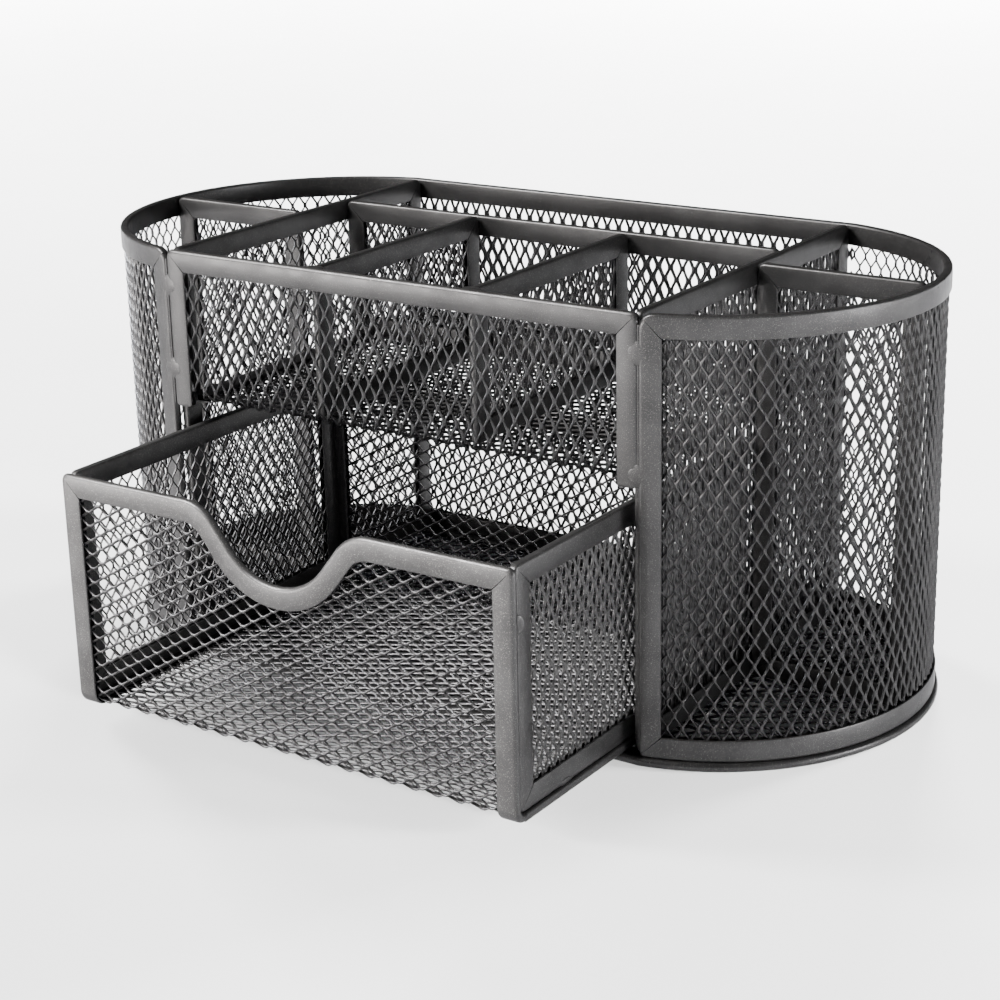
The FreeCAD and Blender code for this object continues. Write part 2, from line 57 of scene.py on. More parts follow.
# Folded strips
strip_width = 0.0053
strip_inset = 0.0017
strip_thickness = 0.0021
strip_metal = 0.00035
round_crown = 0.0010
flat_crown = 0.0006
lip_round = 0.00040
slot_depth = 0.0032
mitre_gap = 0.00016
clear_of_strip = 0.0002
seam_close = 0.00025
side_set_back = 0.0006
sharp_angle = math.radians(40)

# Rounded corners of the strips, as seen from the panel's side
frame_top_corner = 0.0018
frame_bottom_corner = 0.0012
tray_corner = 0.0018
tray_foot_corner = 0.0008
tray_foot_drop = 0.0012
drawer_corner = 0.0016
end_top_corner = 0.0036
end_bottom_corner = 0.0014
end_steps = 64
rim_steps = 48
bend_steps = 8

# The drawer's finger scoop
scoop_depth = 0.016
scoop_slope = math.radians(52)
scoop_shoulder_radius = 0.011
scoop_bottom_radius = 0.016
scoop_steps = 9

# Spot welds: how thick and how proud they are, then length and width by place
weld_swell = 0.00030
weld_rise = 0.00009
seam_weld = (0.0054, 0.0050)
rail_weld = (0.0050, 0.0034)
drawer_seam_weld = (0.0044, 0.0034)
drawer_floor_weld = (0.0050, 0.0022)
drawer_floor_weld_setback = 0.0182
left_seam_weld_heights = (0.0956, 0.0748)
right_seam_weld_heights = (0.0956, 0.0683)
left_drawer_weld_height = 0.0455
right_drawer_weld_height = 0.0478
seam_inset = 0.0002
seam_weld_depth = 0.0001
rail_weld_depth = 0.0004
rail_weld_clear = 0.00002
bead_radius = 0.00028
bead_depth = 0.00042
bead_foot = 0.0660
bead_height = 0.0360

pieces = {"housing": [], "drawer": [], "edging": [], "mesh": []}

X = Vector((1, 0, 0))
Y = Vector((0, 1, 0))
Z = Vector((0, 0, 1))


# Materials


class Nodes:
    """A material's node tree, built by short calls. Noise scales are per metre of the object."""

    def __init__(self, name):
        self.material = bpy.data.materials.new(name)
        self.material.use_nodes = True
        self.tree = self.material.node_tree
        self.shader = self.tree.nodes["Principled BSDF"]
        self.place = self.add("ShaderNodeTexCoord").outputs["Object"]

    def add(self, kind, **settings):
        node = self.tree.nodes.new(kind)
        for key, value in settings.items():
            setattr(node, key, value)
        return node

    def link(self, output, target):
        self.tree.links.new(output, target)

    def noise(self, scale, detail=2.0, roughness=0.5):
        node = self.add("ShaderNodeTexNoise")
        self.link(self.place, node.inputs["Vector"])
        node.inputs["Scale"].default_value = scale
        node.inputs["Detail"].default_value = detail
        node.inputs["Roughness"].default_value = roughness
        return node.outputs["Fac"]

    def spread(self, value, low, high, to_low, to_high):
        node = self.add("ShaderNodeMapRange")
        self.link(value, node.inputs["Value"])
        node.inputs["From Min"].default_value = low
        node.inputs["From Max"].default_value = high
        node.inputs["To Min"].default_value = to_low
        node.inputs["To Max"].default_value = to_high
        return node.outputs["Result"]

    def colours(self, value, stops):
        node = self.add("ShaderNodeValToRGB")
        self.link(value, node.inputs["Fac"])
        ramp = node.color_ramp
        while len(ramp.elements) < len(stops):
            ramp.elements.new(0.5)
        for element, (position, grey) in zip(ramp.elements, stops):
            element.position = position
            element.color = (*grey, 1)
        return node.outputs["Color"]

    def mixed(self, share, first, second):
        node = self.add("ShaderNodeMix", data_type="RGBA", blend_type="MIX")
        self.link(share, node.inputs["Factor"])
        self.link(first, node.inputs["A"])
        self.link(second, node.inputs["B"])
        return node.outputs["Result"]


def powder_coat(name, dark, light, fleck, roughness, metallic):
    """Gunmetal powder coat: cloudy shade, orange-peel skin and fine bright flecks."""
    made = Nodes(name)
    clouds = made.noise(90, 3)
    shade = made.colours(clouds, [(0.35, dark), (0.65, light)])
    grain = made.noise(5200, 2, 0.6)
    flecks = made.spread(grain, 0.60, 0.70, 0, 1)
    bright = made.colours(grain, [(0.0, fleck), (1.0, fleck)])
    shade = made.mixed(flecks, shade, bright)
    made.link(shade, made.shader.inputs["Base Color"])
    worn = made.spread(made.noise(260, 2), 0.3, 0.7, roughness - 0.05, roughness + 0.06)
    made.link(worn, made.shader.inputs["Roughness"])
    made.shader.inputs["Metallic"].default_value = metallic
    made.shader.inputs["Specular Tint"].default_value = (0.35, 0.35, 0.36, 1)
    skin = made.add("ShaderNodeBump")
    skin.inputs["Strength"].default_value = 0.22
    skin.inputs["Distance"].default_value = 0.00005
    made.link(made.noise(1900, 2), skin.inputs["Height"])
    made.link(skin.outputs["Normal"], made.shader.inputs["Normal"])
    return made.material


strip_coat = powder_coat("gunmetal_powder_coat_strip", (0.028, 0.0275, 0.028), (0.038, 0.0375, 0.038),
                         (0.13, 0.126, 0.122), 0.38, 0.66)
mesh_coat = powder_coat("gunmetal_powder_coat_mesh", (0.029, 0.0285, 0.0295), (0.040, 0.0395, 0.0405),
                        (0.13, 0.126, 0.122), 0.33, 0.70)


# Expanded mesh


def mesh_cell(side, wide):
    """One bond and the two strands that leave its far end.

    X is the short way of the mesh, Y the long way and Z outward.
    """
    bm = bmesh.new()
    bmesh.ops.create_grid(bm, x_segments=2, y_segments=1, size=1)
    bmesh.ops.scale(bm, vec=(wide, bond_half_length, 1), verts=bm.verts)
    bmesh.ops.translate(bm, vec=(0, 0, -strand_thickness / 2), verts=bm.verts)
    made = bmesh.ops.extrude_face_region(bm, geom=bm.faces[:])
    raised = [item for item in made["geom"] if isinstance(item, bmesh.types.BMVert)]
    bmesh.ops.translate(bm, vec=(0, 0, strand_thickness), verts=raised)
    ends = {}
    for face in bm.faces:
        middle = face.calc_center_median()
        if abs(middle.y) > bond_half_length * 0.9:
            ends.setdefault(middle.y > 0, []).append((middle.x, face))
    tilt = Matrix.Rotation(-side * strand_tilt, 3, "Y")
    bmesh.ops.rotate(bm, matrix=tilt, verts=bm.verts)
    across = tilt @ Vector((wide, 0, 0))
    spare = [face for place, face in ends[False]]
    for place, face in ends[True]:
        way = 1 if place > 0 else -1
        strand = Vector((way * short_pitch / 2, long_pitch / 2 - 2 * bond_half_length, 0)) - way * across
        tip = bmesh.ops.extrude_discrete_faces(bm, faces=[face])["faces"][0]
        bmesh.ops.translate(bm, vec=strand, verts=tip.verts)
        spare.append(tip)
    bmesh.ops.delete(bm, geom=spare, context="FACES_ONLY")
    return bm


def repeated(bm, step, count):
    """Lays count copies of everything in a row, a step apart."""
    if count > 1:
        everything = bm.verts[:] + bm.edges[:] + bm.faces[:]
        bmesh.ops.spin(bm, geom=everything, cent=(0, 0, 0), axis=(0, 0, 1), dvec=step, angle=0,
                       steps=count - 1, use_duplicate=True)


def flat_mesh(width, length, side, wide=strand_width):
    """A sheet of expanded mesh, centred, width along X and length along Y, cut square."""
    bm = mesh_cell(side, wide)
    repeated(bm, Vector((short_pitch / 2, long_pitch / 2, 0)), 2)
    columns = math.ceil(width / short_pitch) + 2
    rows = math.ceil(length / long_pitch) + 2
    repeated(bm, Vector((short_pitch, 0, 0)), columns)
    repeated(bm, Vector((0, long_pitch, 0)), rows)
    start = Vector((-(columns - 0.5) * short_pitch / 2, -(rows - 0.5) * long_pitch / 2, 0))
    bmesh.ops.translate(bm, vec=start, verts=bm.verts)
    bmesh.ops.remove_doubles(bm, verts=bm.verts, dist=strand_thickness / 50)
    for normal, reach in ((X, width), (-X, width), (Y, length), (-Y, length)):
        bmesh.ops.bisect_plane(bm, geom=bm.verts[:] + bm.edges[:] + bm.faces[:], dist=cut_slack,
                               plane_co=normal * reach / 2, plane_no=normal, clear_outer=True)
    return bm


def mesh_piece(name, nodes, bm, place):
    """Bends the flat sheet to its place, closes the cut strands and makes it a piece."""
    bmesh.ops.holes_fill(bm, edges=[edge for edge in bm.edges if edge.is_boundary], sides=0)
    for vert in bm.verts:
        vert.co = place(vert.co)
    bmesh.ops.recalc_face_normals(bm, faces=bm.faces)
    return new_piece(name, bm, mesh_coat, "mesh", nodes)


def scene_object(name, bm, material):
    """Makes an object of a finished bmesh and frees the bmesh."""
    data = bpy.data.meshes.new(name)
    bm.to_mesh(data)
    bm.free()
    data.materials.append(material)
    made = bpy.data.objects.new(name, data)
    bpy.context.scene.collection.objects.link(made)
    return made


def new_piece(name, bm, material, slot, nodes):
    """Makes a finished piece, on its body and in its slot, in place of its nodes."""
    for face in bm.faces:
        face.smooth = True
    if slot == "edging":
        for edge in bm.edges:
            edge.smooth = edge.calc_face_angle(0) < sharp_angle
    piece = scene_object(name, bm, material)
    body = "drawer" if "drawer" in nodes[0] else "housing"
    pieces[body].append(piece)
    pieces[slot].append(piece)
    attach(piece, body)
    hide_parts(*nodes)
    return piece


def flat_panel(node, short_way, long_way, outward, side, set_back=0.0, wide=strand_width):
    """A flat sheet in its node's place, a little inside the strips that hold its edges."""
    low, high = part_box(node)
    size = high - low
    middle = (low + high) / 2 - outward * set_back
    width = abs(size.dot(short_way))
    length = abs(size.dot(long_way))

    def place(point):
        return middle + short_way * point.x + long_way * point.y + outward * point.z

    bm = flat_mesh(width, length, side, wide)
    return mesh_piece(node.replace("_mesh", "_expanded_mesh"), [node], bm, place)


def folded_place(start, turns):
    """A map for a sheet that runs along straight stretches and quarter bends in the YZ plane.

    Each turn is (straight length before it, direction, outward normal); the last has no bend after it.
    """
    def place(along, across, outward):
        at = start.copy()
        for index, (length, direction, normal) in enumerate(turns):
            last = index == len(turns) - 1
            if along <= length or last:
                return at + direction * along + normal * outward + X * across
            at = at + direction * length
            along -= length
            arc = bend_radius * math.pi / 2
            centre = at - normal * bend_radius
            if along <= arc:
                angle = along / bend_radius
                spoke = normal * math.cos(angle) + direction * math.sin(angle)
                return centre + spoke * (bend_radius + outward) + X * across
            at = centre + direction * bend_radius
            along -= arc
    return place


def tray_mesh():
    """One sheet: down the tray's front, round the fold and back along the tray's floor."""
    low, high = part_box("tray_sheet")
    rear_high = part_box("tray_rear_strip")[1]
    plane_y = low.y + sheet_half
    plane_z = low.z + sheet_half
    front = high.z - plane_z - bend_radius
    floor = high.y - plane_y - bend_radius
    total = front + floor + bend_radius * math.pi / 2
    place = folded_place(Vector((0, plane_y, high.z)), [(front, -Z, -Y), (floor, Y, -Z)])
    bm = flat_mesh(high.x - low.x, total, -1)
    outside = []
    for face in bm.faces:
        middle = face.calc_center_median()
        if abs(middle.x) > rear_high.x and total / 2 - middle.y > front:
            outside.append(face)
    bmesh.ops.delete(bm, geom=outside, context="FACES")

    def bent(point):
        return place(total / 2 - point.y, point.x, point.z)

    return mesh_piece("tray_expanded_mesh", ["tray_sheet"], bm, bent)


def scoop_half_width():
    """How far from the middle of the drawer's front the scoop's shoulders start."""
    radii = scoop_shoulder_radius + scoop_bottom_radius
    drop = scoop_depth - radii * (1 - math.cos(scoop_slope))
    return radii * math.sin(scoop_slope) + drop / math.tan(scoop_slope)


def scoop_edge(x, inset):
    """Height of the drawer front's top edge against its straight part, moved down by an inset."""
    x = abs(x)
    sine = math.sin(scoop_slope)
    cosine = math.cos(scoop_slope)
    shoulder_x = scoop_half_width()
    shoulder = scoop_shoulder_radius - inset
    hollow = scoop_bottom_radius + inset
    hollow_z = scoop_bottom_radius - scoop_depth
    if x >= shoulder_x:
        return -inset
    if x > shoulder_x - shoulder * sine:
        return -scoop_shoulder_radius + math.sqrt(shoulder ** 2 - (shoulder_x - x) ** 2)
    if x > hollow * sine:
        return hollow_z - hollow * cosine + (x - hollow * sine) * math.tan(scoop_slope)
    return hollow_z - math.sqrt(hollow ** 2 - x ** 2)


def drawer_mesh():
    """One sheet folded up at both ends: scooped front, floor and rear."""
    low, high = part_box("drawer_sheet")
    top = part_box("drawer_front_rail")[1].z
    front_y = low.y + sheet_half
    rear_y = high.y - sheet_half
    plane_z = low.z + sheet_half
    upright = high.z - plane_z - bend_radius
    floor = rear_y - front_y - 2 * bend_radius
    total = 2 * upright + floor + bend_radius * math.pi
    place = folded_place(Vector((0, front_y, high.z)), [(upright, -Z, -Y), (floor, Y, -Z), (upright, Z, Y)])
    bm = flat_mesh(total, high.x - low.x, 1)
    bmesh.ops.rotate(bm, matrix=Matrix.Rotation(math.pi / 2, 3, "Z"), verts=bm.verts)
    above = []
    for face in bm.faces:
        middle = face.calc_center_median()
        height = high.z - (total / 2 - middle.y)
        if height > top + scoop_edge(middle.x, strip_width / 2):
            above.append(face)
    bmesh.ops.delete(bm, geom=above, context="FACES")

    def bent(point):
        return place(total / 2 - point.y, point.x, point.z)

    return mesh_piece("drawer_expanded_mesh", ["drawer_sheet"], bm, bent)


def round_end_size():
    """Centre and outer radius of a round end, and the half angle from its tip to its front post."""
    low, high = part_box("right_end_top_rim")
    bulge = high.x - low.x
    outer = (high.y ** 2 + bulge ** 2) / (2 * bulge)
    centre_x = high.x - outer
    return centre_x, outer, math.acos((low.x - centre_x) / outer)


def end_mesh(side_name, side):
    """The sheet that runs round an end, from the front post to the back."""
    node = side_name + "_end_mesh"
    low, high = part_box(node)
    rim_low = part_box("right_end_top_rim")[0]
    centre_x, outer, half_angle = round_end_size()
    radius = outer - strip_thickness / 2
    start = -math.acos((rim_low.x - centre_x + strip_inset) / radius)
    end = math.acos((rim_low.x - centre_x) / radius)
    width = (end - start) * radius
    middle_angle = (start + end) / 2
    middle_z = (low.z + high.z) / 2

    def place(point):
        angle = middle_angle + point.x / radius
        reach = radius + point.z
        return Vector((side * (centre_x + reach * math.cos(angle)), reach * math.sin(angle),
                       middle_z + point.y))

    return mesh_piece(side_name + "_end_expanded_mesh", [node], flat_mesh(width, high.z - low.z, 1), place)


def base_mesh():
    """The floor sheet, cut along the inside of the base rim."""
    low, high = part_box("base_floor_mesh")
    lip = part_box("base_rim")[1].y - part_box("right_end_top_rim")[1].y
    centre_x, outer, half_angle = round_end_size()
    edge_radius = outer + lip - strip_width / 2
    middle_z = (low.z + high.z) / 2
    bm = flat_mesh(high.y - low.y, 2 * high.x, -1)
    bmesh.ops.rotate(bm, matrix=Matrix.Rotation(math.pi / 2, 3, "Z"), verts=bm.verts)
    outside = []
    for face in bm.faces:
        middle = face.calc_center_median()
        past = abs(middle.x) - centre_x
        if past > 0 and math.hypot(past, middle.y) > edge_radius:
            outside.append(face)
    bmesh.ops.delete(bm, geom=outside, context="FACES")

    def place(point):
        return Vector((point.x, point.y, middle_z + point.z))

    return mesh_piece("base_expanded_mesh", ["base_floor_mesh"], bm, place)


# Folded strips


def fold_section(bm, thickness, crown):
    """The U section of a folded strip, as a wire: X runs from the crown to the lips, Z off the panel."""
    made = bmesh.ops.create_grid(bm, x_segments=1, y_segments=1, size=0.5)
    upright = Matrix(((strip_width, 0, 0, strip_width / 2), (0, 0, 1, 0), (0, thickness, 0, 0), (0, 0, 0, 1)))
    bmesh.ops.transform(bm, matrix=upright, verts=made["verts"])
    for offset, segments, at_lips in ((crown, 4, False), (lip_round, 2, True)):
        corners = []
        for vert in made["verts"]:
            if vert.is_valid and (vert.co.x > strip_width / 2) == at_lips:
                corners.append(vert)
        bmesh.ops.bevel(bm, geom=corners, offset=offset, offset_type="OFFSET", segments=segments,
                        profile=0.5, affect="VERTICES", material=-1)
    section = [face for face in bm.faces if all(abs(vert.co.y) < 1e-9 for vert in face.verts)][0]
    mouth = max(section.edges, key=lambda edge: min(vert.co.x for vert in edge.verts))
    cut = bmesh.ops.subdivide_edges(bm, edges=[mouth], cuts=2)["geom_inner"]
    ends = [item for item in cut if isinstance(item, bmesh.types.BMVert)]
    for vert in ends:
        vert.co.z = math.copysign(thickness / 2 - strip_metal, vert.co.z)
    mouth = [edge for edge in ends[0].link_edges if ends[1] in edge.verts][0]
    slot = bmesh.ops.extrude_edge_only(bm, edges=[mouth])["geom"]
    bmesh.ops.translate(bm, vec=(-slot_depth, 0, 0),
                        verts=[item for item in slot if isinstance(item, bmesh.types.BMVert)])
    bmesh.ops.delete(bm, geom=bm.faces[:], context="FACES_ONLY")
    bmesh.ops.delete(bm, geom=[mouth], context="EDGES")
    return bm.edges[:]


def mitred_end(corner, along, inward, radius):
    """Outer and inner edge points from a mitre at a rounded corner to where the strip runs square."""
    inner = corner + (inward + along) * strip_width
    centre = corner + (inward + along) * radius
    pairs = []
    for step in range(4):
        angle = math.radians(45 + 15 * step)
        pairs.append((centre - (along * math.cos(angle) + inward * math.sin(angle)) * radius, inner))
    pairs.append((corner + along * strip_width, inner))
    return [(outer, inside + along * mitre_gap) for outer, inside in pairs]


def square_end(corner, along, inward, radius):
    """The one pair of edge points of an end cut square."""
    return [(corner, corner + inward * strip_width)]


def run(start, end, inward, radii, steps=1):
    """A strip's stations from one corner to the next; a radius of None is an end cut square."""
    along = (end - start).normalized()
    ends = [square_end if radius is None else mitred_end for radius in radii]
    first = ends[0](start, along, inward, radii[0])
    last = ends[1](end, -along, inward, radii[1])[::-1]
    between = []
    for step in range(1, steps):
        share = step / steps
        between.append(tuple(a.lerp(b, share) for a, b in zip(first[-1], last[0])))
    return first + between + last


def sweep(stations, crown=flat_crown, thickness=strip_thickness, closed=False):
    """Draws the U section along its stations, in the panel's own plane with Z off it."""
    bm = bmesh.new()
    edges = fold_section(bm, thickness, crown)
    ring = bm.verts[:]
    before = Matrix.Identity(4)
    start_edges = edges
    for index, (outer, inner) in enumerate(stations):
        inward = (inner - outer) / strip_width
        now = Matrix(((inward.x, -inward.y, 0, outer.x), (inward.y, inward.x, 0, outer.y),
                      (0, 0, 1, 0), (0, 0, 0, 1)))
        if index:
            made = bmesh.ops.extrude_edge_only(bm, edges=edges)["geom"]
            ring = [item for item in made if isinstance(item, bmesh.types.BMVert)]
            edges = [item for item in made if isinstance(item, bmesh.types.BMEdge)
                     and all(vert in ring for vert in item.verts)]
        bmesh.ops.transform(bm, matrix=now @ before.inverted(), verts=ring)
        before = now
    if closed:
        bmesh.ops.bridge_loops(bm, edges=start_edges + edges)
    else:
        bmesh.ops.contextual_create(bm, geom=start_edges)
        bmesh.ops.contextual_create(bm, geom=edges)
    return bm


def strip_piece(node, bm, place):
    """Moves the drawn strip to its node's place and makes it a piece."""
    for vert in bm.verts:
        vert.co = place(vert.co)
    bmesh.ops.recalc_face_normals(bm, faces=bm.faces)
    return new_piece(node + "_folded", bm, strip_coat, "edging", [node])


def flat_place(origin, first, second, outward):
    """A map from a strip's drawing to a flat panel."""
    def place(point):
        return origin + first * point.x + second * point.y + outward * point.z
    return place


def panel_frame(node, length_way, outward, set_back=0.0, bottom_corner=frame_bottom_corner):
    """The four mitred strips round an upright flat panel, from its top start corner round."""
    low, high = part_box(node)
    size = high - low
    length = abs(size.dot(length_way))
    height = size.z
    middle = (low + high) / 2 - outward * set_back
    corners = [Vector((-length / 2, height / 2)), Vector((length / 2, height / 2)),
               Vector((length / 2, -height / 2)), Vector((-length / 2, -height / 2))]
    inwards = [Vector((0, -1)), Vector((-1, 0)), Vector((0, 1)), Vector((1, 0))]
    radii = [frame_top_corner, frame_top_corner, bottom_corner, bottom_corner]
    strip_mesh = bpy.data.meshes.new(node)
    whole = bmesh.new()
    for side in range(4):
        after = (side + 1) % 4
        strip = sweep(run(corners[side], corners[after], inwards[side], (radii[side], radii[after])))
        strip.to_mesh(strip_mesh)
        strip.free()
        whole.from_mesh(strip_mesh)
    return strip_piece(node, whole, flat_place(middle, length_way, Z, outward))


def tray_front_strips():
    """The rail and the two uprights of the tray's front; the uprights end square, with eased corners."""
    low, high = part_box("tray_front_rail")
    eased = tray_foot_corner
    foot_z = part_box("tray_sheet")[0].z - tray_foot_drop
    place = flat_place(Vector((0, (low.y + high.y) / 2, high.z)), X, Z, -Y)
    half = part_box("right_tray_front_strip")[1].x
    stations = run(Vector((-half, 0)), Vector((half, 0)), Vector((0, -1)), (tray_corner, tray_corner))
    strip_piece("tray_front_rail", sweep(stations, round_crown), place)
    for name, x, inward in (("left", -half, 1), ("right", half, -1)):
        inward = Vector((inward, 0))
        foot = Vector((x, foot_z - high.z + eased))
        stations = run(Vector((x, 0)), foot, inward, (tray_corner, None))
        for step in range(1, 5):
            angle = math.radians(20 * step)
            down = foot + Vector((0, -eased * math.sin(angle)))
            taper = inward * eased * (1 - math.cos(angle))
            stations.append((down + taper, down + inward * strip_width - taper))
        strip_piece(name + "_tray_front_strip", sweep(stations, round_crown), place)


def scoop_stations():
    """The stations along the drawer front's top edge, round the finger scoop, left to right."""
    shoulder = Vector((-scoop_half_width(), -scoop_shoulder_radius))
    hollow = Vector((0, scoop_bottom_radius - scoop_depth))
    left = []
    for step in range(scoop_steps + 1):
        angle = scoop_slope * step / scoop_steps
        spoke = Vector((math.sin(angle), math.cos(angle)))
        left.append((shoulder + spoke * scoop_shoulder_radius,
                     shoulder + spoke * (scoop_shoulder_radius - strip_width)))
    for step in range(scoop_steps + 1):
        angle = scoop_slope * (1 - step / scoop_steps)
        spoke = Vector((-math.sin(angle), -math.cos(angle)))
        left.append((hollow + spoke * scoop_bottom_radius,
                     hollow + spoke * (scoop_bottom_radius + strip_width)))
    right = [(Vector((-outer.x, outer.y)), Vector((-inner.x, inner.y))) for outer, inner in left[-2::-1]]
    return left + right


def drawer_upright(prefix, outward, scooped):
    """The rail across the top of the drawer's front or rear, and the strip down each side."""
    rail_node = "drawer_" + prefix + "_rail"
    low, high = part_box(rail_node)
    plane_y = (low.y + high.y) / 2
    floor_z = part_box("drawer_sheet")[0].z + sheet_half
    upright = high.z - floor_z - bend_radius
    inside = -outward
    place_folded = folded_place(Vector((0, plane_y, high.z)), [(upright, -Z, outward), (1, inside, -Z)])

    def place(point):
        return place_folded(-point.y, point.x, point.z)

    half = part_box("right_drawer_" + prefix + "_strip")[1].x
    stations = run(Vector((-half, 0)), Vector((half, 0)), Vector((0, -1)), (drawer_corner, drawer_corner))
    if scooped:
        middle = len(stations) // 2
        stations = stations[:middle] + scoop_stations() + stations[middle:]
    strip_piece(rail_node, sweep(stations, round_crown), place)
    bend = bend_radius * math.pi / 2
    for name, x, inward in (("left", -half, 1), ("right", half, -1)):
        inward = Vector((inward, 0))
        foot = Vector((x, -upright))
        stations = run(Vector((x, 0)), foot, inward, (drawer_corner, None))
        for step in range(1, bend_steps + 1):
            down = foot + Vector((0, -bend * step / bend_steps))
            stations.append((down, down + inward * strip_width))
        strip_piece(name + "_drawer_" + prefix + "_strip", sweep(stations, round_crown), place)


def straight_strip(start, end, inward):
    """A straight strip cut square at both ends."""
    return sweep(run(start, end, inward, (None, None)))


def lying_strips():
    """The strips that lie along the edges of the tray's and the drawer's floors."""
    for part, behind in (("tray", strip_thickness / 2 + clear_of_strip), ("drawer", bend_radius)):
        front_low, front_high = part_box(part + "_front_rail")
        front_plane = (front_low.y + front_high.y) / 2
        for name, side in (("left", -1), ("right", 1)):
            node = name + "_" + part + "_floor_strip"
            low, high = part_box(node)
            outer_x = high.x if side > 0 else low.x
            front = Vector((outer_x, max(low.y, front_plane + behind)))
            bm = straight_strip(front, Vector((outer_x, high.y)), Vector((-side, 0)))
            strip_piece(node, bm, flat_place(Z * (low.z + high.z) / 2, X, Y, Z))
    low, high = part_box("tray_rear_strip")
    bm = straight_strip(Vector((low.x, high.y)), Vector((high.x, high.y)), Vector((0, -1)))
    strip_piece("tray_rear_strip", bm, flat_place(Z * (low.z + high.z) / 2, X, Y, Z))


def end_strips(side_name, side):
    """Top rim, front post and bottom strip of a round end."""
    centre_x, outer, half_angle = round_end_size()
    radius = outer - strip_thickness / 2
    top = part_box("right_end_top_rim")[1].z
    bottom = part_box("right_end_bottom_strip")[0].z
    reach = half_angle * radius + seam_close

    def place(point):
        angle = point.x / radius
        out = radius + point.z
        return Vector((side * (centre_x + out * math.cos(angle)), out * math.sin(angle), point.y))

    top_front = Vector((-reach, top))
    bottom_front = Vector((-reach, bottom))
    rim = run(top_front, Vector((reach, top)), Vector((0, -1)), (end_top_corner, None), end_steps)
    strip_piece(side_name + "_end_top_rim", sweep(rim), place)
    foot = run(bottom_front, Vector((reach, bottom)), Vector((0, 1)), (end_bottom_corner, None), end_steps)
    strip_piece(side_name + "_end_bottom_strip", sweep(foot), place)
    post = run(top_front, bottom_front, Vector((1, 0)), (end_top_corner, end_bottom_corner))
    strip_piece(side_name + "_end_front_post", sweep(post, round_crown), place)


def back_rails():
    """The strips along the top and the bottom of the back."""
    for node, inward in (("back_top_rail", -1), ("back_bottom_rail", 1)):
        low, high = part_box(node)
        edge_z = high.z if inward < 0 else low.z
        bm = straight_strip(Vector((low.x, edge_z)), Vector((high.x, edge_z)), Vector((0, inward)))
        strip_piece(node, bm, flat_place(Y * (low.y + high.y) / 2, X, Z, Y))


def base_strip():
    """The folded strip round the floor, standing out as a lip."""
    low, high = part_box("base_rim")
    centre_x, outer, half_angle = round_end_size()
    radius = outer + high.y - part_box("right_end_top_rim")[1].y
    reach = math.asin(high.y / radius)
    stations = []
    for side in (1, -1):
        for step in range(rim_steps + 1):
            angle = (1 - side) * math.pi / 2 - reach + 2 * reach * step / rim_steps
            spoke = Vector((math.cos(angle), math.sin(angle)))
            centre = Vector((side * centre_x, 0))
            stations.append((centre + spoke * radius, centre + spoke * (radius - strip_width)))
    bm = sweep(stations, round_crown, high.z - low.z, closed=True)
    strip_piece("base_rim", bm, flat_place(Z * (low.z + high.z) / 2, X, Y, Z))


def spot_welds(name, node, places, beads=()):
    """Low nuggets squeezed into a seam, and beads.

    Each place is (middle, way along the seam, way out, length, width). Each bead is (foot, height): the
    fine upright line of coat that fills a seam.
    """
    bm = bmesh.new()
    for foot, height in beads:
        middle = Matrix.Translation(foot + Z * height / 2)
        bmesh.ops.create_cone(bm, cap_ends=True, segments=12, radius1=bead_radius, radius2=bead_radius,
                              depth=height, matrix=middle)
    for middle, along, out, length, width in places:
        made = bmesh.ops.create_icosphere(bm, subdivisions=4, radius=1)["verts"]
        for vert in made:
            vert.co.x += 0.10 * math.sin(5 * vert.co.y + 2) * (1 - abs(vert.co.x))
            vert.co.y += 0.08 * math.sin(4 * vert.co.x + 1) * (1 - abs(vert.co.y))
        across = along.cross(out)
        shape = Matrix((across * width / 2, along * length / 2, out * weld_swell)).transposed().to_4x4()
        sunk = middle - out * (weld_swell - weld_rise)
        bmesh.ops.transform(bm, matrix=Matrix.Translation(sunk) @ shape, verts=made)
    bmesh.ops.recalc_face_normals(bm, faces=bm.faces)
    return new_piece(name, bm, strip_coat, "edging", [node])


def body_welds():
    """Welds down the seams beside the tray's front and on its rail, and the seams' beads."""
    seam_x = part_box("right_end_front_post")[0].x - seam_inset
    rail_low, rail_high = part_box("tray_front_rail")
    places = []
    for side, heights in ((-1, left_seam_weld_heights), (1, right_seam_weld_heights)):
        for height in heights:
            middle = Vector((side * seam_x, rail_low.y + seam_weld_depth, height))
            places.append((middle, Z, Vector((0.1 * side, -1, 0)).normalized(), *seam_weld))
    beads = []
    for side in (-1, 1):
        beads.append((Vector((side * seam_x, rail_low.y + bead_depth, bead_foot)), bead_height))
    for divider in ("left_short_divider_frame", "right_short_divider_frame"):
        low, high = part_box(divider)
        middle_z = rail_high.z - weld_rise - rail_weld_clear
        middle = Vector(((low.x + high.x) / 2, low.y + rail_weld_depth, middle_z))
        places.append((middle, X, Z, *rail_weld))
    spot_welds("body_seam_welds", "body_spot_welds", places, beads)


def drawer_welds():
    """Welds where the drawer's sides meet its front, and under their lower strips."""
    low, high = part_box("right_drawer_side_frame")
    places = []
    for side, height in ((-1, left_drawer_weld_height), (1, right_drawer_weld_height)):
        middle = Vector((side * (high.x - seam_inset), low.y - seam_inset, height))
        places.append((middle, Z, Vector((side, -0.6, 0)).normalized(), *drawer_seam_weld))
        middle = Vector((side * (high.x - side_set_back), low.y + drawer_floor_weld_setback,
                         low.z + seam_inset))
        places.append((middle, Y, Vector((side, 0, -0.2)).normalized(), *drawer_floor_weld))
    spot_welds("drawer_seam_welds", "drawer_spot_welds", places)


